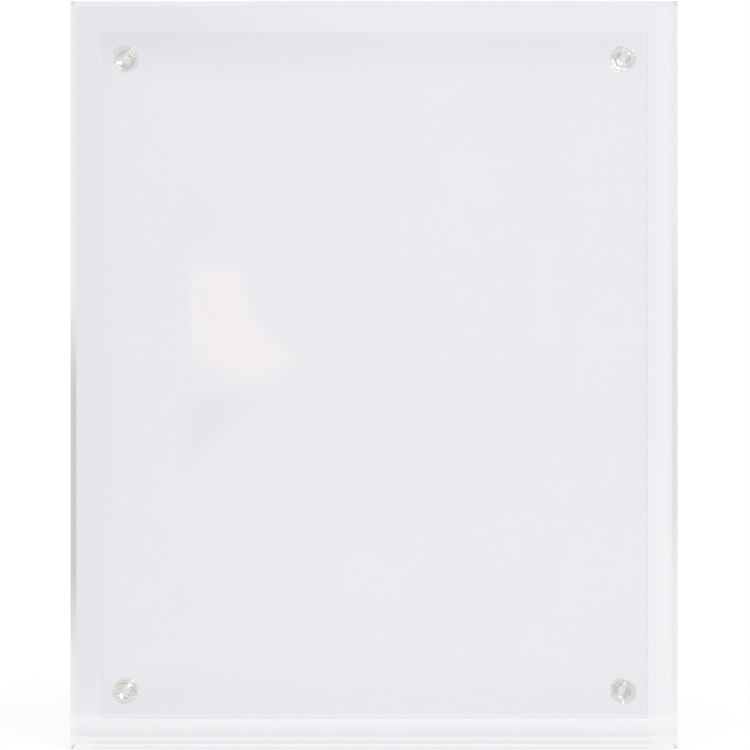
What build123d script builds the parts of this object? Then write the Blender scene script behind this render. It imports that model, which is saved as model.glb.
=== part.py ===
from build123d import *
import math
import os

# A clear frame for one document or photo: a thick bevelled back panel, a smaller cover sheet and
# four slotted screws with washers that clamp the two sheets together. All sizes are in millimetres.
# The front faces -Y, +X is to the viewer's right and +Z is up. The origin is the middle of the
# panel's bottom edge, which the frame stands on.

# Back panel
PANEL_WIDTH = 268.0
PANEL_HEIGHT = 330.0
PANEL_THICKNESS = 15.0
PANEL_BEVEL = 3.0
PANEL_ARRIS = 0.5

# Cover sheet, set in from the panel's edges
COVER_SIDE_MARGIN = 14.0
COVER_END_MARGIN = 14.5
COVER_THICKNESS = 3.0
COVER_ARRIS = 0.4
DOCUMENT_GAP = 0.2

# Screws, set in from the cover's edges
SCREW_SIDE_INSET = 11.0
SCREW_END_INSET = 12.0
THREAD_DIAMETER = 6.0
THREAD_PITCH = 1.0
THREAD_ANGLE = 60.0
HEAD_DIAMETER = 10.0
HEAD_HEIGHT = 3.9
HEAD_EDGE_RADIUS = 0.8
SLOT_WIDTH = 1.6
SLOT_DEPTH = 2.2

# How far the top of each slot leans to the viewer's right, in degrees
SLOT_LEAN = {"top_left": 40.0, "top_right": 8.0, "bottom_left": -62.0, "bottom_right": 15.0}

# Washers
WASHER_DIAMETER = 11.5
WASHER_THICKNESS = 1.6
WASHER_ARRIS = 0.25

# Fits
HOLE_CLEARANCE = 0.2
BORE_CLEARANCE = 0.1
SEAT_GAP = 0.05
BORE_TIP_GAP = 1.25
BORE_FLOOR = 4.8
DRILL_POINT_ANGLE = 118.0

# Shares of the pitch in a metric thread, and how far its ridge is sunk in the core
THREAD_DEPTH_SHARE = 0.6134
THREAD_CREST_SHARE = 0.125
RIDGE_SINK = 0.08

# Where each layer's front face lies, from the panel towards the viewer
panel_front = -PANEL_THICKNESS / 2
cover_back = panel_front - DOCUMENT_GAP
cover_front = cover_back - COVER_THICKNESS
washer_back = cover_front - SEAT_GAP
washer_front = washer_back - WASHER_THICKNESS
head_seat = washer_front - SEAT_GAP

cover_width = PANEL_WIDTH - 2 * COVER_SIDE_MARGIN
cover_height = PANEL_HEIGHT - 2 * COVER_END_MARGIN

thread_radius = THREAD_DIAMETER / 2
thread_depth = THREAD_DEPTH_SHARE * THREAD_PITCH
core_radius = thread_radius - thread_depth
hole_radius = thread_radius + HOLE_CLEARANCE
bore_radius = thread_radius + BORE_CLEARANCE

# The bore keeps its floor behind the drill's point, and the screw stops short of the bore's end
drill_point_height = bore_radius / math.tan(math.radians(DRILL_POINT_ANGLE / 2))
bore_depth = PANEL_THICKNESS - BORE_FLOOR - drill_point_height
thread_in_panel = bore_depth - BORE_TIP_GAP
shank_length = thread_in_panel + panel_front - head_seat

screw_x = cover_width / 2 - SCREW_SIDE_INSET
screw_z = cover_height / 2 - SCREW_END_INSET
SCREW_PLACES = {
    "top_left": (-screw_x, PANEL_HEIGHT / 2 + screw_z),
    "top_right": (screw_x, PANEL_HEIGHT / 2 + screw_z),
    "bottom_left": (-screw_x, PANEL_HEIGHT / 2 - screw_z),
    "bottom_right": (screw_x, PANEL_HEIGHT / 2 - screw_z),
}


def facing_viewer(x, y, z):
    """A place whose own z axis points at the viewer, with x to the right and y up."""
    return Plane(origin=(x, y, z), x_dir=(1, 0, 0), z_dir=(0, -1, 0)).location


def sheet(width, height, thickness):
    """A flat sheet that lies behind z = 0."""
    return Box(width, height, thickness, align=(Align.CENTER, Align.CENTER, Align.MAX))


def rod(radius, length):
    """A round bar that runs back from z = 0."""
    return Cylinder(radius, length, align=(Align.CENTER, Align.CENTER, Align.MAX))


def break_edges(slab, front, back):
    """The slab with a chamfer of one size round its front face and of another round its back."""
    slab = chamfer(slab.faces().sort_by(Axis.Z)[-1].edges(), front)
    return chamfer(slab.faces().sort_by(Axis.Z)[0].edges(), back)


def make_back_panel():
    """The thick sheet, with a wide bevel round its front and blind bores for the screws."""
    panel = break_edges(sheet(PANEL_WIDTH, PANEL_HEIGHT, PANEL_THICKNESS), PANEL_BEVEL, PANEL_ARRIS)
    drill_point = Cone(
        0, bore_radius, drill_point_height, align=(Align.CENTER, Align.CENTER, Align.MAX)
    )
    bore = rod(bore_radius, bore_depth) + Pos(0, 0, -bore_depth) * drill_point
    for x, z in SCREW_PLACES.values():
        panel -= Pos(x, z - PANEL_HEIGHT / 2) * bore
    return facing_viewer(0, panel_front, PANEL_HEIGHT / 2) * panel


def make_cover_sheet():
    """The thin front sheet, with broken edges and a clearance hole for each screw."""
    cover = break_edges(sheet(cover_width, cover_height, COVER_THICKNESS), COVER_ARRIS, COVER_ARRIS)
    for x, z in SCREW_PLACES.values():
        cover -= Pos(x, z - PANEL_HEIGHT / 2) * rod(hole_radius, COVER_THICKNESS)
    return facing_viewer(0, cover_front, PANEL_HEIGHT / 2) * cover


def make_washer():
    """A flat ring with its two outer edges broken."""
    ring = break_edges(rod(WASHER_DIAMETER / 2, WASHER_THICKNESS), WASHER_ARRIS, WASHER_ARRIS)
    return ring - rod(hole_radius, WASHER_THICKNESS)


def make_screw_blank():
    """A cheese-head screw with a cut thread and no slot. Its head sits on z = 0."""
    head = Cylinder(HEAD_DIAMETER / 2, HEAD_HEIGHT, align=(Align.CENTER, Align.CENTER, Align.MIN))
    head = fillet(head.edges().group_by(Axis.Z)[-1], HEAD_EDGE_RADIUS)

    # The ridge runs past both ends of the shank, then is trimmed to it with a cone at the tip. The
    # trimming blank is as wide as the bore, so that it clears the crest of the thread.
    path = Helix(
        pitch=THREAD_PITCH,
        height=shank_length + 2 * THREAD_PITCH,
        radius=core_radius,
        center=(0, 0, -shank_length - THREAD_PITCH),
    )
    crest_half = THREAD_CREST_SHARE * THREAD_PITCH / 2
    flank_half = crest_half + (thread_depth + RIDGE_SINK) * math.tan(math.radians(THREAD_ANGLE / 2))
    section = Plane(origin=path @ 0, x_dir=(1, 0, 0), z_dir=path % 0) * Polygon(
        (-RIDGE_SINK, -flank_half),
        (thread_depth, -crest_half),
        (thread_depth, crest_half),
        (-RIDGE_SINK, flank_half),
        align=None,
    )
    blank = rod(bore_radius, shank_length)
    blank = chamfer(blank.edges().group_by(Axis.Z)[0], bore_radius - core_radius)
    ridge = sweep(section, path=path, is_frenet=True) & blank
    return head + rod(core_radius, shank_length) + ridge


def make_screw(blank, lean):
    """The blank with its driver slot, whose top leans to the viewer's right."""
    slot = Box(
        SLOT_WIDTH, 2 * HEAD_DIAMETER, SLOT_DEPTH, align=(Align.CENTER, Align.CENTER, Align.MAX)
    )
    return blank - Pos(0, 0, HEAD_HEIGHT) * Rot(0, 0, -lean) * slot


pieces = {"back_panel": make_back_panel(), "cover_sheet": make_cover_sheet()}
washer = make_washer()
screw_blank = make_screw_blank()
for corner, (x, z) in SCREW_PLACES.items():
    pieces[f"washer_{corner}"] = facing_viewer(x, washer_front, z) * washer
    pieces[f"screw_{corner}"] = facing_viewer(x, head_seat, z) * make_screw(screw_blank, SLOT_LEAN[corner])

os.makedirs("parts", exist_ok=True)
for name, piece in pieces.items():
    export_step(piece, f"parts/{name}.step")

print(f"cover {cover_width:.1f} x {cover_height:.1f} mm")
print(f"screws {2 * screw_x:.1f} x {2 * screw_z:.1f} mm apart")
print(f"shank {shank_length:.2f} mm, of which {thread_in_panel:.2f} mm in the panel")
print(f"turns to free a screw {thread_in_panel / THREAD_PITCH:.2f}")
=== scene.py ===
# %% [markdown]
# # A clear document frame, piece by piece
# The object is a frame of clear acrylic: a thick bevelled back panel, a smaller cover sheet in front of
# it, and a slotted clear screw with a washer in each corner. Its sizes come from a solid model that is
# loaded first. Everything made below is placed by measuring that model, so nothing has to be fitted by
# eye.

# %% Load the solid model
import math
import bmesh
import bpy
from mathutils import Matrix, Vector


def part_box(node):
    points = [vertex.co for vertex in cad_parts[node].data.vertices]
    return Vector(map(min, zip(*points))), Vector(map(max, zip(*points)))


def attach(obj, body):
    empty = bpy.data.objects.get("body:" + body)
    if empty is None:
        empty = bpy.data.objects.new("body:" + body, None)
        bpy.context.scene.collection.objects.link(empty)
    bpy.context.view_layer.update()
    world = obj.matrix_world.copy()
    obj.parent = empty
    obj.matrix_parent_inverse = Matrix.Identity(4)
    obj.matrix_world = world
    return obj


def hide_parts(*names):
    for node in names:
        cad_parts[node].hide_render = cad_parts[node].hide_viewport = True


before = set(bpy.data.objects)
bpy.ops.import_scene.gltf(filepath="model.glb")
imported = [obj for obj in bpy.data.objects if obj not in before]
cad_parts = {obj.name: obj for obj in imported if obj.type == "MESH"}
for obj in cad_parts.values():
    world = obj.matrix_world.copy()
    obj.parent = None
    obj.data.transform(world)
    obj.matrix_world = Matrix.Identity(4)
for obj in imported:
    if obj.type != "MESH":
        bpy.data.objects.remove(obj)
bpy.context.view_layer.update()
scene = bpy.context.scene
MM = 0.001

# %% [markdown]
# ## Measures
# A maker would take these off the parts with a caliper. The corners of each solid's box give the outer
# sizes and places. What a box can't show, such as the width of a bevel or the pitch of a thread, is
# written where it is first used, as a real size.

# %% Measure the sheets and the four corners
CORNERS = ("top_left", "top_right", "bottom_left", "bottom_right")
panel_low, panel_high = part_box("back_panel")
cover_low, cover_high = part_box("cover_sheet")
middle = (panel_low + panel_high) / 2


def axis_of(corner):
    """Where a corner's screw axis crosses the front view, from the middle of its washer."""
    low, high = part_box(f"washer_{corner}")
    return (low.x + high.x) / 2, (low.z + high.z) / 2


places = {corner: axis_of(corner) for corner in CORNERS}
screw_x = abs(places["top_right"][0] - middle.x)
screw_z = abs(places["top_right"][1] - middle.z)
print("panel", [round(v / MM, 1) for v in panel_high - panel_low], "mm")
print("screws", round(2 * screw_x / MM, 1), "x", round(2 * screw_z / MM, 1), "mm apart")

# %% [markdown]
# ## From a bmesh to a finished piece
# Every piece is shaped as a bmesh, Blender's editable mesh in memory. One helper closes the work: it
# turns the faces outwards, marks the edges that should stay crisp, and ties the new object to the body
# that it moves with. Large faces, and those that face straight to the front or the back, are shaded
# flat, because in clear plastic even a slightly bent normal would bend the whole view through the sheet.

# %% Helper that closes each piece
CRISP_ANGLE = math.radians(32)
SHEET_FLAT = (6 * MM) ** 2
SMALL_FLAT = (2 * MM) ** 2
FACING = 0.9999
TOUCH = 0.005 * MM


def finish_piece(bm, name, body, node, materials, flat_area):
    """Makes an object of a closed bmesh, in place of a solid of the loaded model."""
    bmesh.ops.recalc_face_normals(bm, faces=bm.faces)
    open_edges = sum(not e.is_manifold for e in bm.edges)
    mesh = bpy.data.meshes.new(name)
    bm.to_mesh(mesh)
    bm.free()
    mesh.set_sharp_from_angle(angle=CRISP_ANGLE)
    for face in mesh.polygons:
        face.use_smooth = face.area < flat_area and abs(face.normal.y) < FACING
    for material in materials:
        mesh.materials.append(material)
    piece = bpy.data.objects.new(name, mesh)
    scene.collection.objects.link(piece)
    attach(piece, body)
    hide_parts(node)
    print(name, len(mesh.polygons), "faces,", open_edges, "open edges")


print("edges sharper than", round(math.degrees(CRISP_ANGLE)), "degrees stay crisp")

# %% [markdown]
# ## Shader sums as Python
# A finish is a small program of nodes. Wiring each one by hand hides the idea, so this class wraps one
# socket and lets plain Python operators add the Math nodes. `1 - mask` and `mask * 0.5` then read as
# they would on paper. Any other node comes from `add`, which takes its settings and its inputs.

# %% Wrapper for node sockets
class Wire:
    """An output socket of a node tree that can be used in sums."""

    def __init__(self, tree, socket=None):
        self.tree = tree
        self.socket = socket

    def add(self, kind, settings=None, inputs=None, output=0):
        """Adds a node: first its settings, then a value or a wire for each input."""
        node = self.tree.nodes.new(kind)
        for key, value in (settings or {}).items():
            setattr(node, key, value)
        for key, value in (inputs or {}).items():
            if isinstance(value, Wire):
                self.tree.links.new(value.socket, node.inputs[key])
            else:
                node.inputs[key].default_value = value
        return Wire(self.tree, node.outputs[output] if node.outputs else None)

    def math(self, operation, first, second=0.0):
        return self.add("ShaderNodeMath", {"operation": operation}, {0: first, 1: second})

    def __add__(self, other):
        return self.math("ADD", self, other)

    def __radd__(self, other):
        return self.math("ADD", other, self)

    def __sub__(self, other):
        return self.math("SUBTRACT", self, other)

    def __rsub__(self, other):
        return self.math("SUBTRACT", other, self)

    def __mul__(self, other):
        return self.math("MULTIPLY", self, other)

    def __rmul__(self, other):
        return self.math("MULTIPLY", other, self)

    def __pow__(self, power):
        return self.math("POWER", self, power)

    def __abs__(self):
        return self.math("ABSOLUTE", self)

    def step(self, start, end):
        """A soft ramp from 0 at start to 1 at end."""
        low, high, first, last = (start, end, 0.0, 1.0) if start < end else (end, start, 1.0, 0.0)
        ends = {"From Min": low, "From Max": high, "To Min": first, "To Max": last}
        soft = {"interpolation_type": "SMOOTHSTEP"}
        return self.add("ShaderNodeMapRange", soft, {"Value": self, **ends})

    def band(self, low, high, soft):
        """1 between two values, with a soft ramp round each of them."""
        return self.step(low - soft, low + soft) * self.step(high + soft, high - soft)

    def mix_colour(self, first, second):
        """The first colour where this wire is 0 and the second where it is 1."""
        ends = [end if isinstance(end, Wire) else (*end, 1.0) for end in (first, second)]
        sockets = {0: self, 6: ends[0], 7: ends[1]}
        return self.add("ShaderNodeMix", {"data_type": "RGBA"}, sockets, output=2)

    def parts(self):
        """The x, y and z of a vector."""
        split = self.add("ShaderNodeSeparateXYZ", inputs={0: self})
        return [Wire(self.tree, socket) for socket in split.socket.node.outputs]


def new_tree(owner):
    """An empty node tree on a material or a world, as a wire to start from."""
    owner.use_nodes = True
    owner.node_tree.nodes.clear()
    return Wire(owner.node_tree)


print("a wire has", sum(callable(value) for value in vars(Wire).values()), "methods")

# %% [markdown]
# ## Clear acrylic
# Cast acrylic bends light with an index of refraction of 1.49, and it is never quite perfect: cleaning
# leaves hairlines, fingers leave smudges and the polish is very slightly wavy. Those go into the
# roughness and a small bump. The tint sits in the base colour, which a transmitting surface takes half
# on the way in and half on the way out. For lamps the plastic is a plain tinted film, so that the
# pieces cast the pale shadow of clear plastic and not the black one of a solid.

# %% The clear finish
ACRYLIC_IOR = 1.49
FILM_COLOUR = (0.86, 0.86, 0.86, 1.0)
CLOUD_SCALE = 18.0
SMUDGE_SCALE = 32.0
SMUDGE_LEVELS = (0.56, 0.74)
SMUDGE_ROUGHNESS = 0.03
HAIRLINE_SCALE = 260.0
HAIRLINE_STRETCH = (1.0, 1.0, 0.03)
HAIRLINE_LEVEL = 0.5
HAIRLINE_WIDTH = (0.012, 0.002)
RISING_HAIRLINES = 24.0
FALLING_HAIRLINES = -61.0
HAIRLINE_ROUGHNESS = 0.06
POLISHED = 0.004


def noise(spot, scale, detail=0.0, stretch=(1.0, 1.0, 1.0), turn=0.0):
    """Cloudy noise on object coordinates, drawn out along an axis and turned in the front view."""
    mapping = {"Vector": spot, "Scale": stretch, "Rotation": (0.0, math.radians(turn), 0.0)}
    placed = spot.add("ShaderNodeMapping", inputs=mapping)
    return spot.add("ShaderNodeTexNoise", inputs={"Vector": placed, "Scale": scale, "Detail": detail})


def hairlines(spot, turn):
    """Thin scratches: the narrow band where a drawn-out noise crosses its middle value."""
    drawn_out = noise(spot, HAIRLINE_SCALE, stretch=HAIRLINE_STRETCH, turn=turn)
    return abs(drawn_out - HAIRLINE_LEVEL).step(*HAIRLINE_WIDTH)


def clear_finish(name, tint, deep_tint, relief, smooth=POLISHED, shades=(), clearness=1.0):
    """A clear plastic between two tints, and other shades where their masks are 1.

    From object coordinates, relief gives the surface's height in metres and each mask a value from 0 to 1.
    """
    material = bpy.data.materials.new(name)
    start = new_tree(material)
    spot = start.add("ShaderNodeTexCoord", output="Object")
    smudge = noise(spot, SMUDGE_SCALE, detail=3.0).step(*SMUDGE_LEVELS)
    scratch = hairlines(spot, RISING_HAIRLINES) + hairlines(spot, FALLING_HAIRLINES)
    colour = noise(spot, CLOUD_SCALE, detail=1.0).mix_colour(tint, deep_tint)
    for mask, shade in shades:
        colour = mask(spot).mix_colour(colour, shade)
    height = {"Strength": 1.0, "Distance": 1.0, "Height": relief(spot)}
    plastic = start.add(
        "ShaderNodeBsdfPrincipled",
        inputs={
            "Base Color": colour,
            "Roughness": smooth + SMUDGE_ROUGHNESS * smudge + HAIRLINE_ROUGHNESS * scratch,
            "IOR": ACRYLIC_IOR,
            "Transmission Weight": clearness,
            "Normal": start.add("ShaderNodeBump", inputs=height),
        },
    )
    film = start.add("ShaderNodeBsdfTransparent", inputs={"Color": FILM_COLOUR})
    for_lamps = start.add("ShaderNodeLightPath", output="Is Shadow Ray")
    both = start.add("ShaderNodeMixShader", inputs={0: for_lamps, 1: plastic, 2: film})
    start.add("ShaderNodeOutputMaterial", inputs={"Surface": both})
    print("finish", name, len(material.node_tree.nodes), "nodes")
    return material


print("acrylic of index", ACRYLIC_IOR)

# %% [markdown]
# ## Polished edges
# A sheet's faces are only slightly wavy, but its edges were sawn, milled and polished, and polishing
# leaves faint streaks that run along each edge. A mask that grows towards the outline brings those in,
# so that the bevels glint unevenly as real ones do.

# %% Relief of a sheet
BEVEL = 3.0 * MM
WAVE = 0.004 * MM
STREAK = 0.008 * MM
STREAK_SCALE = 1600.0
UPRIGHT_STREAKS = (1.0, 1.0, 0.02)
LEVEL_STREAKS = (0.02, 1.0, 1.0)


def sheet_relief(low, high, edge):
    """The relief of a sheet that fills a box and whose edges are that wide."""
    centre = (low + high) / 2
    half = (high - low) / 2

    def relief(spot):
        x, _, z = spot.parts()
        reach_x = abs(x - centre.x).step(half.x - edge, half.x)
        reach_z = abs(z - centre.z).step(half.z - edge, half.z)
        upright = noise(spot, STREAK_SCALE, stretch=UPRIGHT_STREAKS)
        level = noise(spot, STREAK_SCALE, stretch=LEVEL_STREAKS)
        waves = noise(spot, CLOUD_SCALE)
        return WAVE * waves + STREAK * (reach_x * upright + reach_z * level)

    return relief


print("the panel's polished edge is", BEVEL / MM, "mm wide")

# %% [markdown]
# ## Light inside the panel
# A thick sheet carries light along inside it, as a light pipe does, and lets it out beside its bottom
# edge. There the front shows thin lines of light with darker fringes between them, a pale wash above
# them and pale corners, and it is a little paler low on its right. Tracing such light takes very many
# samples, so here it is a tint, measured from the panel's edges, that stays on the panel from wherever
# one looks.

# %% Masks of light on the panel's front
LINE_HEIGHT = 5.0 * MM
LINE_PITCH = 3.05 * MM
LINES_END = (6.6 * MM, 6.0 * MM)
FRINGES_END = (9.0 * MM, 7.5 * MM)
WASH_RISE = (7.0 * MM, 13.6 * MM)
WASH_FALL = (16.5 * MM, 14.2 * MM)
PALE_CORNER_END = (8.0 * MM, 3.0 * MM)
RIGHT_GLOW = 0.4
RIGHT_GLOW_SOFT = 2.0 * MM
RIGHT_GLOW_END = (170.0 * MM, 50.0 * MM)


def panel_front(y):
    """1 on the panel's front and its bevels, 0 further back."""
    return y.step(panel_low.y + 2 * BEVEL, panel_low.y + BEVEL)


def light_lines(z):
    """Waves between 0 and 1 up the front, 1 where light from inside the sheet comes out."""
    return 0.5 + 0.5 * z.math("COSINE", (z - LINE_HEIGHT) * (2 * math.pi / LINE_PITCH))


def panel_fringes(spot):
    """The darker fringes between those lines."""
    _, y, z = spot.parts()
    return panel_front(y) * (1 - light_lines(z)) * z.step(*FRINGES_END)


def panel_glow(spot):
    """The paler front of the panel beside its bottom edge and low on its right."""
    x, y, z = spot.parts()
    inner_side = cover_high.x - middle.x
    outer_side = panel_high.x - middle.x - BEVEL
    wash = z.step(*WASH_RISE) * z.step(*WASH_FALL)
    lines = light_lines(z) * z.step(*LINES_END)
    right_margin = x.step(cover_high.x, cover_high.x + RIGHT_GLOW_SOFT)
    right = RIGHT_GLOW * right_margin * z.step(*RIGHT_GLOW_END)
    corners = abs(x - middle.x).step(inner_side, outer_side) * z.step(*PALE_CORNER_END)
    return panel_front(y) * spot.math("MINIMUM", wash + lines + right + corners, 1.0)


print("lines of light", LINE_PITCH / MM, "mm apart")

# %% [markdown]
# ## Painted shade on the edges
# The thin lines where the front meets its bevels, and the mitres where two bevels meet, are darkened by
# painted shade, in full on the lower mitres and only a little on the lines round the front. Every such
# line follows from how far a point lies beyond the flat front to the side and in height, so no line
# has to be drawn by hand.

# %% Mask of painted shade on the panel
# Width of the painted shade lines, and the share of painted shade on the lines round the front.
EDGE_SHADE_WIDTH = 0.45 * MM
RIM_SHADE = 0.12


def painted_edge_shade(spot):
    """Painted shade: the thin lines where the front meets its bevels, and the mitres where two bevels
    meet.
    """
    x, y, z = spot.parts()
    beside = abs(x - middle.x) - (panel_high.x - middle.x - BEVEL)
    above = abs(z - middle.z) - (panel_high.z - middle.z - BEVEL)
    outermost = spot.math("MAXIMUM", beside, above)
    mitre = abs(beside - above).step(EDGE_SHADE_WIDTH, 0.0) * outermost.step(0.0, EDGE_SHADE_WIDTH)
    low_mitre = mitre * z.step(middle.z, 0.0)
    rim = abs(outermost).step(EDGE_SHADE_WIDTH, 0.0)
    return panel_front(y) * spot.math("MINIMUM", low_mitre + RIM_SHADE * rim, 1.0)


print("painted shade lines", EDGE_SHADE_WIDTH / MM, "mm wide to each side")

# %% [markdown]
# ## Finish of the two sheets
# The panel is thick, so it carries a slight violet grey. The cover is thin and almost without colour.
# The panel's masks are laid over its tint one after another, and the painted shade of its edges comes
# last.

# %% Sheet finishes
PANEL_TINT = (0.885, 0.885, 0.918)
PANEL_DEEP_TINT = (0.875, 0.875, 0.908)
FRINGE_TINT = (0.79, 0.785, 0.815)
GLOW_TINT = (1.0, 0.97, 1.0)
# Dark tint of the painted shade on the panel's edge lines and lower mitres.
EDGE_SHADE_TINT = (0.35, 0.35, 0.37)
COVER_TINT = (0.995, 0.995, 1.0)
COVER_DEEP_TINT = (0.985, 0.985, 0.992)
COVER_EDGE = 1.0 * MM

# Over the panel's tint go its painted fringes and glow, and then the painted shade of its edges.
panel_finish = clear_finish(
    "clear_panel_acrylic",
    PANEL_TINT,
    PANEL_DEEP_TINT,
    sheet_relief(panel_low, panel_high, BEVEL),
    shades=[(panel_fringes, FRINGE_TINT), (panel_glow, GLOW_TINT), (painted_edge_shade, EDGE_SHADE_TINT)],
)
cover_relief = sheet_relief(cover_low, cover_high, COVER_EDGE)
cover_finish = clear_finish("clear_cover_acrylic", COVER_TINT, COVER_DEEP_TINT, cover_relief)

# %% [markdown]
# ## Slabs
# Both sheets start as a cube that is scaled to its box. Bevels take the front edges down and round the
# arrises. A Bevel modifier could do the same, but here the edges are chosen by where they lie.

# %% Tools for slabs
ROUND_STEPS = 4


def slab(low, high):
    """A box between two corners."""
    bm = bmesh.new()
    bmesh.ops.create_cube(bm, size=1.0)
    bmesh.ops.scale(bm, vec=high - low, verts=bm.verts)
    bmesh.ops.translate(bm, vec=(low + high) / 2, verts=bm.verts)
    return bm


def edges_at(bm, y):
    """The edges that lie in the plane at one depth."""
    return [e for e in bm.edges if all(abs(v.co.y - y) < TOUCH for v in e.verts)]


def ease(bm, geom, width, segments=1, affect="EDGES"):
    """Bevels edges or the corners of a line, flat with one segment and round with more."""
    bmesh.ops.bevel(
        bm,
        geom=geom,
        offset=width,
        offset_type="OFFSET",
        affect=affect,
        segments=segments,
        profile=0.5,
        material=-1,
    )


print("rounded edges get", ROUND_STEPS, "segments")

# %% [markdown]
# ## Holes
# A flat face gets its screw holes by removing it, drawing circles in its plane and filling the space
# between outline and circles with triangles. Each circle is then extruded inwards, one station of
# radius and depth at a time, which is how a drill would leave it. A Boolean would cut the holes too, but
# it can leave thin slivers, which show in clear plastic.

# %% Tools for holes
HOLE_STEPS = 96


def of_kind(geom, kind):
    """The verts or the edges among an operator's results."""
    return [g for g in geom if isinstance(g, kind)]


def open_face(bm, y):
    """Removes the large flat face at one depth and returns its outline."""
    flat = [f for f in bm.faces if abs(f.calc_center_median().y - y) < TOUCH]
    face = max(flat, key=lambda f: f.calc_area())
    outline = list(face.edges)
    bmesh.ops.delete(bm, geom=[face], context="FACES_ONLY")
    return outline


def draw_holes(bm, y, radius):
    """Draws a circle round each screw axis at one depth, and returns the rings of edges."""
    rings = []
    for x, z in places.values():
        facing = Matrix.Translation((x, y, z)) @ Matrix.Rotation(math.pi / 2, 4, "X")
        made = bmesh.ops.create_circle(bm, segments=HOLE_STEPS, radius=radius, matrix=facing)
        rings.append(list(dict.fromkeys(e for v in made["verts"] for e in v.link_edges)))
    return rings


def fill_flat(bm, outline, rings=()):
    """Closes a flat face round its holes."""
    edges = outline + [e for ring in rings for e in ring]
    bmesh.ops.triangle_fill(bm, edges=edges, use_beauty=True)


def sink(bm, ring, place, radius, stations):
    """Extrudes a hole's ring through stations of radius and depth, and returns the last ring."""
    centre = Vector((place[0], 0.0, place[1]))
    for next_radius, y in stations:
        made = bmesh.ops.extrude_edge_only(bm, edges=ring)["geom"]
        verts = of_kind(made, bmesh.types.BMVert)
        new_verts = set(verts)
        ring = [e for e in of_kind(made, bmesh.types.BMEdge) if new_verts.issuperset(e.verts)]
        factor = next_radius / radius
        about = Matrix.Translation(-centre)
        bmesh.ops.scale(bm, vec=(factor, 1.0, factor), space=about, verts=verts)
        bmesh.ops.translate(bm, vec=(0.0, y - verts[0].co.y, 0.0), verts=verts)
        radius = next_radius
    return ring


print("holes have", HOLE_STEPS, "sides")

# %% [markdown]
# ## Back panel
# The panel is a thick sheet whose front is bevelled all round, so that it catches light like a cut
# stone. The screws go into four blind holes that end in the cone of a drill's point. The cone is one
# more extruded ring, merged into a point.

# %% Make the back panel
ARRIS = 0.5 * MM
PANEL_ROUND = 0.08 * MM
BORE_RADIUS = 3.1 * MM
BORE_DEPTH = 8.34 * MM
BORE_EASE = 0.3 * MM
DRILL_POINT = 1.86 * MM

panel_mesh = slab(panel_low, panel_high)
ease(panel_mesh, edges_at(panel_mesh, panel_low.y), BEVEL)
ease(panel_mesh, edges_at(panel_mesh, panel_high.y), ARRIS)
ease(panel_mesh, panel_mesh.edges[:], PANEL_ROUND, ROUND_STEPS)
front_outline = open_face(panel_mesh, panel_low.y)
bore_rings = draw_holes(panel_mesh, panel_low.y, BORE_RADIUS + BORE_EASE)
fill_flat(panel_mesh, front_outline, bore_rings)
bore = [(BORE_RADIUS, panel_low.y + BORE_EASE), (BORE_RADIUS, panel_low.y + BORE_DEPTH)]
for place, ring in zip(places.values(), bore_rings):
    last = sink(panel_mesh, ring, place, BORE_RADIUS + BORE_EASE, bore)
    made = bmesh.ops.extrude_edge_only(panel_mesh, edges=last)["geom"]
    cone = of_kind(made, bmesh.types.BMVert)
    tip = Vector((place[0], panel_low.y + BORE_DEPTH + DRILL_POINT, place[1]))
    bmesh.ops.pointmerge(panel_mesh, verts=cone, merge_co=tip)
finish_piece(panel_mesh, "bevelled_panel", "panel", "back_panel", [panel_finish], SHEET_FLAT)

# %% [markdown]
# ## Cover sheet
# The cover is a thin sheet with crisp edges, barely rounded, and four plain holes that clear the screws.
# Its holes go right through, so the last ring of each becomes part of the outline that closes the back
# face.

# %% Make the cover sheet
COVER_ROUND = 0.03 * MM
HOLE_RADIUS = 3.2 * MM
HOLE_EASE = 0.2 * MM

cover_mesh = slab(cover_low, cover_high)
ease(cover_mesh, cover_mesh.edges[:], COVER_ROUND, ROUND_STEPS)
front_outline = open_face(cover_mesh, cover_low.y)
back_outline = open_face(cover_mesh, cover_high.y)
hole_rings = draw_holes(cover_mesh, cover_low.y, HOLE_RADIUS + HOLE_EASE)
fill_flat(cover_mesh, front_outline, hole_rings)
through = [
    (HOLE_RADIUS, cover_low.y + HOLE_EASE),
    (HOLE_RADIUS, cover_high.y - HOLE_EASE),
    (HOLE_RADIUS + HOLE_EASE, cover_high.y),
]
back_rings = [
    sink(cover_mesh, ring, place, HOLE_RADIUS + HOLE_EASE, through)
    for place, ring in zip(places.values(), hole_rings)
]
fill_flat(cover_mesh, back_outline, back_rings)
finish_piece(cover_mesh, "front_cover", "cover", "cover_sheet", [cover_finish], SHEET_FLAT)

# %% [markdown]
# ## Finish of the screws and washers
# These small parts are moulded or turned from clear rod. Turning leaves fine rings round each axis. One
# finish serves all four corners, because the pattern folds the front view onto one corner: the
# distance from the axis is worked out from the sizes of x and z, whatever their signs. The washers are
# polished, the screws are slightly frosted, and the milled slot is paler and more frosted.

# %% Screw and washer finishes
RING_PITCH = 0.22 * MM
RING_HEIGHT = 0.0006 * MM
FLOW_HEIGHT = 0.004 * MM
FLOW_SCALE = 420.0
WASHER_TINT = (0.97, 0.97, 0.96)
WASHER_DEEP_TINT = (0.95, 0.95, 0.93)
SCREW_TINT = (0.965, 0.965, 0.93)
SCREW_DEEP_TINT = (0.935, 0.935, 0.895)
SCREW_FROST = 0.27
SLOT_TINT = (0.995, 0.995, 0.99)
SLOT_DEEP_TINT = (0.98, 0.98, 0.97)
SLOT_FROST = 0.4
SLOT_CLEARNESS = 0.65


def turned_relief(spot):
    """Fine rings round the nearest screw axis, over the slow flow lines of a moulding."""
    x, _, z = spot.parts()
    across = abs(x - middle.x) - screw_x
    along = abs(z - middle.z) - screw_z
    radius = (across * across + along * along) ** 0.5
    rings = spot.math("SINE", radius * (2 * math.pi / RING_PITCH))
    return RING_HEIGHT * rings + FLOW_HEIGHT * noise(spot, FLOW_SCALE)


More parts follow.
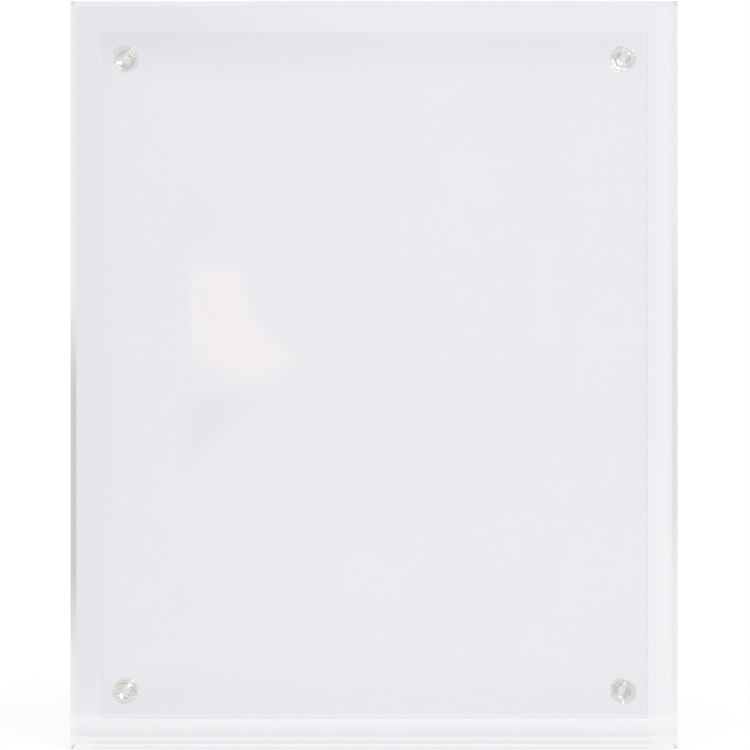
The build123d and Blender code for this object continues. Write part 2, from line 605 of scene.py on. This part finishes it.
washer_finish = clear_finish("clear_washer_plastic", WASHER_TINT, WASHER_DEEP_TINT, turned_relief)
screw_finish = clear_finish(
    "clear_screw_plastic", SCREW_TINT, SCREW_DEEP_TINT, turned_relief, smooth=SCREW_FROST
)
slot_finish = clear_finish(
    "screw_slot_plastic",
    SLOT_TINT,
    SLOT_DEEP_TINT,
    turned_relief,
    smooth=SLOT_FROST,
    clearness=SLOT_CLEARNESS,
)

# %% [markdown]
# ## Washers
# A washer is a lathe part, so its section is drawn once, as four corners that are rounded, and spun
# about the screw's axis. It is drawn flat at the origin with its front at z = 0 and then stood up in
# its corner, facing the viewer.

# %% Make the four washers
LATHE_STEPS = 128
WASHER_ROUND = 0.25 * MM
SMALL_ROUND = 0.1 * MM


def section(points, closed=False):
    """A line through points given as radius and height, in a new bmesh."""
    bm = bmesh.new()
    verts = [bm.verts.new((radius, 0.0, height)) for radius, height in points]
    ends = verts[1:] + verts[:1] if closed else verts[1:]
    for first, second in zip(verts, ends):
        bm.edges.new((first, second))
    return bm, verts


def spin_line(bm, steps, turns=1, pitch=0.0):
    """Spins a line about the z axis, for one closed turn or up a helix of that pitch."""
    bmesh.ops.spin(
        bm,
        geom=bm.verts[:] + bm.edges[:],
        cent=(0.0, 0.0, 0.0),
        axis=(0.0, 0.0, 1.0),
        dvec=(0.0, 0.0, pitch / steps),
        angle=2 * math.pi * turns,
        steps=steps * turns,
        use_merge=pitch == 0.0,
    )
    bmesh.ops.remove_doubles(bm, verts=bm.verts, dist=TOUCH)


def stand_up(bm, corner, y, lean=0.0):
    """Stands a part up in its corner, front to the viewer, with its top leaning to the right."""
    x, z = places[corner]
    upright = Matrix.Rotation(math.pi / 2, 4, "X") @ Matrix.Rotation(math.radians(-lean), 4, "Z")
    bmesh.ops.transform(bm, matrix=Matrix.Translation((x, y, z)) @ upright, verts=bm.verts)


for corner in CORNERS:
    low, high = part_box(f"washer_{corner}")
    outer, thickness = (high.x - low.x) / 2, high.y - low.y
    corners = [(HOLE_RADIUS, 0.0), (outer, 0.0), (outer, -thickness), (HOLE_RADIUS, -thickness)]
    ring_mesh, verts = section(corners, closed=True)
    ease(ring_mesh, verts[1:3], WASHER_ROUND, ROUND_STEPS, "VERTICES")
    ease(ring_mesh, [verts[0], verts[3]], SMALL_ROUND, ROUND_STEPS, "VERTICES")
    spin_line(ring_mesh, LATHE_STEPS)
    stand_up(ring_mesh, corner, low.y)
    name = f"washer_{corner}"
    finish_piece(ring_mesh, f"clear_{name}", name, name, [washer_finish], SMALL_FLAT)

# %% [markdown]
# ## Threads
# A clear cheese-head screw shows its thread right through the head, so the thread has to be real. Its
# section, one pitch long, is spun with a small rise at each step, which makes a helix. The tip is
# pressed in to a short cone, and the ends are cut off square.

# %% Tools for threads
THREAD_RADIUS = 3.0 * MM
THREAD_PITCH = 1.0 * MM
THREAD_DEPTH = 0.6134 * THREAD_PITCH
CREST_WIDTH = 0.125 * THREAD_PITCH
FLANK_WIDTH = THREAD_DEPTH * math.tan(math.radians(30))
THREAD_STEPS = 64
TIP_INSET = 0.35 * MM
CUT_SNAP = TOUCH / 10
core_radius = THREAD_RADIUS - THREAD_DEPTH


def cut(bm, point, normal, take_off=False):
    """Cuts along a plane, takes off what lies beyond it if asked, and returns the cut's edges."""
    made = bmesh.ops.bisect_plane(
        bm,
        geom=bm.verts[:] + bm.edges[:] + bm.faces[:],
        dist=CUT_SNAP,
        plane_co=point,
        plane_no=normal,
        clear_outer=take_off,
    )
    return of_kind(made["geom_cut"], bmesh.types.BMEdge)


def thread(shank):
    """A threaded shank below z = 0 that is open at the top."""
    root = THREAD_PITCH - CREST_WIDTH - 2 * FLANK_WIDTH
    foot = -shank - THREAD_PITCH
    crest = foot + root + FLANK_WIDTH
    points = [
        (core_radius, foot),
        (core_radius, foot + root),
        (THREAD_RADIUS, crest),
        (THREAD_RADIUS, crest + CREST_WIDTH),
        (core_radius, foot + THREAD_PITCH),
    ]
    bm, _ = section(points)
    spin_line(bm, THREAD_STEPS, math.ceil(shank / THREAD_PITCH) + 2, THREAD_PITCH)
    for vert in bm.verts:
        limit = max(core_radius - TIP_INSET + vert.co.z + shank, TIP_INSET)
        radius = math.hypot(vert.co.x, vert.co.y)
        if radius > limit:
            vert.co.xy *= limit / radius
    tip = cut(bm, (0.0, 0.0, -shank), (0.0, 0.0, -1.0), take_off=True)
    bmesh.ops.edgeloop_fill(bm, edges=tip)
    cut(bm, (0.0, 0.0, 0.0), (0.0, 0.0, 1.0), take_off=True)
    return bm


print("thread", round(THREAD_DEPTH / MM, 3), "mm deep, core", round(2 * core_radius / MM, 2), "mm")

# %% [markdown]
# ## Driver slots
# A slot is milled across each head, and its walls lean a little, so that it is wider at its mouth. It is
# cut with three bisecting planes, two walls and a floor: the faces between them are taken out, and the
# walls and the floor are filled in with the slot's own finish.

# %% Tool for slots
SLOT_FLOOR = 1.2 * MM
SLOT_MOUTH = 2.0 * MM
SLOT_DEPTH = 2.2 * MM
SLOT_MATERIAL = 1
SIDES = (-1.0, 1.0)


def slot_head(bm, top):
    """Cuts the driver slot along y into a head whose top is at that height. Its walls lean outwards."""
    floor = top - SLOT_DEPTH
    lean = (SLOT_MOUTH - SLOT_FLOOR) / 2 / SLOT_DEPTH

    def half_width(height):
        return SLOT_FLOOR / 2 + (height - floor) * lean

    for side in SIDES:
        cut(bm, (side * half_width(floor), 0.0, floor), (side, 0.0, -lean))
    cut(bm, (0.0, 0.0, floor), (0.0, 0.0, 1.0))
    centres = {f: f.calc_center_median() for f in bm.faces}
    inside = [f for f, c in centres.items() if c.z > floor and abs(c.x) < half_width(c.z)]
    bmesh.ops.delete(bm, geom=inside, context="FACES")
    rim = [e for e in bm.edges if e.is_boundary and e.verts[0].co.z + e.verts[1].co.z > floor]
    arcs = [e for e in rim if all(abs(v.co.z - floor) < TOUCH for v in e.verts)]
    rim_verts = dict.fromkeys(v for e in rim for v in e.verts)
    ends = [v for v in rim_verts if abs(v.co.z - floor) < TOUCH]
    floor_lines = []
    for side in SIDES:
        wall = [v for v in ends if abs(side * v.co.x - SLOT_FLOOR / 2) < TOUCH]
        line = bm.edges.new(wall)
        floor_lines.append(line)
        outline = [
            e for e in rim
            if all(abs(side * v.co.x - half_width(v.co.z)) < TOUCH for v in e.verts)
        ]
        bmesh.ops.edgeloop_fill(bm, edges=outline + [line], mat_nr=SLOT_MATERIAL)
    bmesh.ops.edgeloop_fill(bm, edges=arcs + floor_lines, mat_nr=SLOT_MATERIAL)


print("slots", SLOT_DEPTH / MM, "mm deep")

# %% [markdown]
# ## Screws
# The head is a lathe part, open where the thread joins it. Head and thread go into one mesh, and the
# ring between them is filled, which makes the seat under the head. Each slot was left at its own angle
# when its screw was tightened, so the four screws differ only in how far the top of the slot leans to
# the right.

# %% Make the four screws
HEAD_HEIGHT = 3.9 * MM
HEAD_ROUND = 0.8 * MM
SEAT_INSET = 0.6 * MM
SLOT_LEAN = {"top_left": 40.0, "top_right": 8.0, "bottom_left": -62.0, "bottom_right": 15.0}

for corner in CORNERS:
    low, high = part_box(f"screw_{corner}")
    head_radius = (high.x - low.x) / 2
    head_seat = low.y + HEAD_HEIGHT
    points = [(head_radius - SEAT_INSET, 0.0), (head_radius, 0.0)]
    points += [(head_radius, HEAD_HEIGHT), (0.0, HEAD_HEIGHT)]
    head_mesh, verts = section(points)
    ease(head_mesh, [verts[2]], HEAD_ROUND, 2 * ROUND_STEPS, "VERTICES")
    spin_line(head_mesh, LATHE_STEPS)
    slot_head(head_mesh, HEAD_HEIGHT)
    screw_mesh = thread(high.y - head_seat)
    joined = bpy.data.meshes.new("head")
    head_mesh.to_mesh(joined)
    head_mesh.free()
    screw_mesh.from_mesh(joined)
    bpy.data.meshes.remove(joined)
    fill_flat(screw_mesh, [e for e in screw_mesh.edges if e.is_boundary])
    stand_up(screw_mesh, corner, head_seat, SLOT_LEAN[corner])
    name = f"screw_{corner}"
    finishes = [screw_finish, slot_finish]
    finish_piece(screw_mesh, f"clear_{name}", name, name, finishes, SMALL_FLAT)

# %% [markdown]
# ## Surroundings
# Clear plastic shows only what is around it, so its surroundings matter as much as its finish. Blender's
# Light Path node tells what has happened to a ray: whether it comes straight from the camera, whether it
# has gone through plastic or off it, and how often it was mirrored. Three masks made from that let each
# kind of ray see what it would see in a studio. The floor uses them too, so a helper makes them.

# %% Kinds of rays
def ray_kinds(start):
    """Three masks: rays from the camera, rays in plastic, and rays that were never mirrored."""
    camera_ray = start.add("ShaderNodeLightPath", output="Is Camera Ray")
    through_ray = start.add("ShaderNodeLightPath", output="Is Transmission Ray")
    mirror_ray = start.add("ShaderNodeLightPath", output="Is Glossy Ray")
    mirrorings = start.add("ShaderNodeLightPath", output="Glossy Depth")
    in_plastic = start.math("MAXIMUM", through_ray, mirror_ray)
    straight = 1 - start.math("MINIMUM", mirrorings, 1.0)
    return camera_ray, in_plastic, straight


world = bpy.data.worlds.new("studio")
scene.world = world
start = new_tree(world)
x, y, z = start.add("ShaderNodeTexCoord", output="Generated").parts()
camera_ray, in_plastic, straight = ray_kinds(start)
print("ray masks of", len(world.node_tree.nodes), "nodes")

# %% [markdown]
# ## The bright studio
# The ground behind the frame is white, and its brightness falls off to the sides and in height, which
# draws the bevels and the screws in grey. A side bevel bends the view far to the other side, so a grey
# flag stands there for each of them, as in a photo studio. The pairs of numbers are directions, x to
# the right, y to the back and z up, and a third number is the softness of an edge.

# %% Studio behind the frame
SIDE_FALL = 0.3
SIDE_RANGE = (0.2, 0.85)
HEIGHT_FALL = 0.4
HEIGHT_RANGE = (0.25, 0.9)
RIGHT_FLAG = 0.295
RIGHT_FLAG_X = (0.2, 0.6, 0.06)
RIGHT_FLAG_Z = (-0.117, 0.015, 0.03)
LEFT_FLAG = 0.095
LEFT_FLAG_X = (-0.6, -0.2, 0.06)
LEFT_FLAG_Z = (-0.085, 0.05, 0.03)
LEFT_SIDE = (0.02, -0.15)
LEFT_FALL = 0.075
LEFT_FALL_X = (-0.3, -0.2)
LEFT_FALL_Z = (0.3, 0.2)

left = x.step(*LEFT_SIDE)
sides = 1 - SIDE_FALL * abs(x).step(*SIDE_RANGE)
heights = 1 - HEIGHT_FALL * abs(z).step(*HEIGHT_RANGE)
right_flag = x.band(*RIGHT_FLAG_X) * z.band(*RIGHT_FLAG_Z)
left_flag = x.band(*LEFT_FLAG_X) * z.band(*LEFT_FLAG_Z)
left_view = left * x.step(*LEFT_FALL_X) * abs(z).step(*LEFT_FALL_Z)
behind = sides * heights * (1 - RIGHT_FLAG * right_flag - LEFT_FLAG * left_flag - LEFT_FALL * left_view)
print("flags take", RIGHT_FLAG, "and", LEFT_FLAG, "of the light")

# %% [markdown]
# ## The room in front
# A sheet also mirrors a little of what is in front of it, and that is a dimmer room: its middle is paler
# and brightest on the left, a bright card stands to the right, and a pale streak and two soft shades
# lie across the middle. They are made here and not on the cover, because a reflection stays with the
# room when the cover moves.

# %% Room in front of the frame
ROOM_AROUND = 0.75
ROOM_EDGE = 0.41
ROOM_MIDDLE = 0.60
ROOM_LEFT = 0.32
ROOM_FACING = (-0.8, -0.97)
MIDDLE_X = (-0.1315, 0.1315, 0.007)
MIDDLE_Z = (-0.15, 0.15, 0.011)
CARD = 0.43
CARD_X = (0.136, 0.3, 0.004)
ROOM_STREAK = 0.2
ROOM_STREAK_X = (0.078, 0.087, 0.004)
ROOM_STREAK_Z = (0.02, 0.062, 0.008)
ROOM_SHADE = 0.17
LARGE_SHADE_SIDE = (-0.096, -0.088)
LARGE_SHADE_TOP = (-0.007, -0.015)
LARGE_SHADE_FOOT = (-0.9, 0.033, 0.045)
SMALL_SHADE_X = (0.079, 0.085, 0.006)
SMALL_SHADE_Z = (-0.104, -0.084, 0.012)


def slant(along, across, slope, start, end):
    """A soft ramp as step makes, along an axis that leans by a slope."""
    return (along + slope * across).step(start, end)


facing = y.step(*ROOM_FACING)
centre = x.band(*MIDDLE_X) * z.band(*MIDDLE_Z)
card = x.band(*CARD_X)
streak = x.band(*ROOM_STREAK_X) * z.band(*ROOM_STREAK_Z)
large_shade = x.step(*LARGE_SHADE_SIDE) * z.step(*LARGE_SHADE_TOP) * slant(z, x, *LARGE_SHADE_FOOT)
small_shade = x.band(*SMALL_SHADE_X) * z.band(*SMALL_SHADE_Z)
shades = ROOM_SHADE * (large_shade + small_shade)
middle_glow = ROOM_MIDDLE + ROOM_LEFT * left - shades + ROOM_STREAK * streak
front = ROOM_EDGE + (middle_glow - ROOM_EDGE) * centre + CARD * card
room = ROOM_AROUND + facing * (front - ROOM_AROUND)
print("room from", ROOM_EDGE, "to", round(ROOM_MIDDLE + ROOM_LEFT, 2))

# %% [markdown]
# One reflection is warm: a soft patch left of the middle, with an upright left side, a level top, a right
# side of two slopes and a pointed foot. Each side is one soft ramp, and their product is the patch.

# %% Warm reflection
PATCH = 0.48
PATCH_COLOUR = (1.0, 0.5, 0.3, 1.0)
PATCH_SIDE = (-0.093, -0.086)
PATCH_TOP = (0.057, 0.049)
PATCH_RIGHT_STEEP = (0.25, -0.049, -0.057)
PATCH_RIGHT_FLAT = (1.1, -0.025, -0.034)
PATCH_FOOT_LEFT = (0.5, -0.043, -0.03)
PATCH_FOOT_RIGHT = (-0.6, 0.022, 0.036)

right_side = start.math("MAXIMUM", slant(x, z, *PATCH_RIGHT_STEEP), slant(x, z, *PATCH_RIGHT_FLAT))
foot = slant(z, x, *PATCH_FOOT_LEFT) * slant(z, x, *PATCH_FOOT_RIGHT)
patch = facing * x.step(*PATCH_SIDE) * z.step(*PATCH_TOP) * right_side * foot
print("warm patch of", PATCH_COLOUR[:3])

# %% [markdown]
# The world puts these together. The camera sees pure white, and matt surfaces get one plain level of
# light. Rays in plastic see the bright studio, on every side if they were never mirrored, so the frame
# looks clear from behind as well. Mirrored rays that leave to the front see the dimmer room.

# %% World
STUDIO_START = (-0.3, 0.1)
PLAIN_LIGHT = 0.6
WHITE = (1.0, 1.0, 1.0, 1.0)

in_studio = start.math("MAXIMUM", y.step(*STUDIO_START), straight)
studio = room + (behind - room) * in_studio
seen = camera_ray + (1 - camera_ray) * (PLAIN_LIGHT + in_plastic * (studio - PLAIN_LIGHT))
warmth = PATCH * patch * in_plastic * (1 - straight)
sky = start.add("ShaderNodeBackground", inputs={"Color": WHITE, "Strength": seen})
warm = start.add("ShaderNodeBackground", inputs={"Color": PATCH_COLOUR, "Strength": warmth})
both = start.add("ShaderNodeAddShader", inputs={0: sky, 1: warm})
start.add("ShaderNodeOutputWorld", inputs={"Surface": both})
print("world of", len(world.node_tree.nodes), "nodes")

# %% [markdown]
# ## Floor
# The floor is a pale disc that fades out, so that it has no edge. Most of it glows white for the camera
# and the plastic, and the rest is matt and lit by the lamps, which keeps a soft shadow under the frame.
# Mirrored rays see it dimmer in front, as the room is there, but not close to the frame.

# %% Make the floor
FLOOR_RADIUS = 0.34
FLOOR_FADE = 0.05
FLOOR_STEPS = 96
FLOOR_COLOUR = (0.9, 0.9, 0.9, 1.0)
FLOOR_MATT = 0.3
MATT_IN_PLASTIC = 0.05
FRONT_FLOOR = 0.55
FRONT_FLOOR_END = (-0.04, -0.024)

floor_mesh = bmesh.new()
bmesh.ops.create_circle(floor_mesh, cap_ends=True, segments=FLOOR_STEPS, radius=FLOOR_RADIUS)
floor_data = bpy.data.meshes.new("floor")
floor_mesh.to_mesh(floor_data)
floor_mesh.free()
floor = bpy.data.objects.new("floor", floor_data)
scene.collection.objects.link(floor)
floor_finish = bpy.data.materials.new("pale_floor")
floor_data.materials.append(floor_finish)
start = new_tree(floor_finish)
x, y, _ = start.add("ShaderNodeTexCoord", output="Object").parts()
camera_ray, in_plastic, straight = ray_kinds(start)
bright = start.math("MAXIMUM", y.step(*FRONT_FLOOR_END), straight)
level = FRONT_FLOOR + (1 - FRONT_FLOOR) * bright
shown = camera_ray + (1 - camera_ray) * in_plastic * level
glow = start.add("ShaderNodeEmission", inputs={"Color": shown})
matt = start.add("ShaderNodeBsdfDiffuse", inputs={"Color": FLOOR_COLOUR})
matt_share = FLOOR_MATT - (FLOOR_MATT - MATT_IN_PLASTIC) * in_plastic
ground = start.add("ShaderNodeMixShader", inputs={0: matt_share, 1: glow, 2: matt})
distance = (x * x + y * y) ** 0.5
fade = distance.step(FLOOR_FADE, FLOOR_RADIUS)
clear = start.add("ShaderNodeBsdfTransparent")
faded = start.add("ShaderNodeMixShader", inputs={0: fade, 1: ground, 2: clear})
start.add("ShaderNodeOutputMaterial", inputs={"Surface": faded})
floor_finish.cycles.emission_sampling = "NONE"
print("floor", 2 * FLOOR_RADIUS, "m across")

# %% [markdown]
# ## Lamps
# Two soft lamps give the glints. The key hangs to the upper right in front, as the highlights on the
# screw heads show, and it shows through the plastic too. A weaker one fills from the upper left, and
# is hidden from rays through the plastic, so that it adds no second glint there.

# %% Hang the lamps
LAMP_SIZE = 1.0
KEY_PLACE = (0.9, -1.0, 1.4)
KEY_WATTS = 24.0
FILL_PLACE = (-1.2, -0.8, 1.2)
FILL_WATTS = 10.0


def soft_lamp(name, place, watts, in_plastic):
    """A square area lamp that points at the frame, and shows or doesn't show through plastic."""
    data = bpy.data.lights.new(name, "AREA")
    data.size = LAMP_SIZE
    data.energy = watts
    lamp = bpy.data.objects.new(name, data)
    lamp.location = place
    lamp.rotation_euler = (middle - Vector(place)).to_track_quat("-Z", "Y").to_euler()
    lamp.visible_camera = False
    lamp.visible_transmission = in_plastic
    scene.collection.objects.link(lamp)
    print(name, watts, "W")


soft_lamp("key_lamp", KEY_PLACE, KEY_WATTS, in_plastic=True)
soft_lamp("fill_lamp", FILL_PLACE, FILL_WATTS, in_plastic=False)

# %% [markdown]
# ## Camera
# The photograph looks straight at the front from a little under a metre, level with the middle of the
# panel. The lens follows from the height that the picture shows at the panel's outline. Light crosses
# many clear faces one behind another, so its rays are allowed more bounces than usual.

# %% Place the camera
CAMERA_DISTANCE = 0.9
CAMERA_SIDE = 0.4 * MM
SHOWN_HEIGHT = 331.1 * MM
SENSOR = 36.0
CLEAR_BOUNCES = 20
MIRROR_BOUNCES = 8

lens_data = bpy.data.cameras.new("camera")
lens_data.sensor_width = SENSOR
lens_data.lens = SENSOR * (CAMERA_DISTANCE + BEVEL) / SHOWN_HEIGHT
camera = bpy.data.objects.new("camera", lens_data)
camera.location = (middle.x + CAMERA_SIDE, panel_low.y - CAMERA_DISTANCE, middle.z)
camera.rotation_euler = (math.pi / 2, 0.0, 0.0)
scene.collection.objects.link(camera)
scene.camera = camera
scene.view_settings.view_transform = "Standard"
scene.cycles.max_bounces = CLEAR_BOUNCES
scene.cycles.transmission_bounces = CLEAR_BOUNCES
scene.cycles.glossy_bounces = MIRROR_BOUNCES
scene.cycles.caustics_reflective = False
scene.cycles.caustics_refractive = False
print("lens", round(lens_data.lens, 1), "mm")

# %% [markdown]
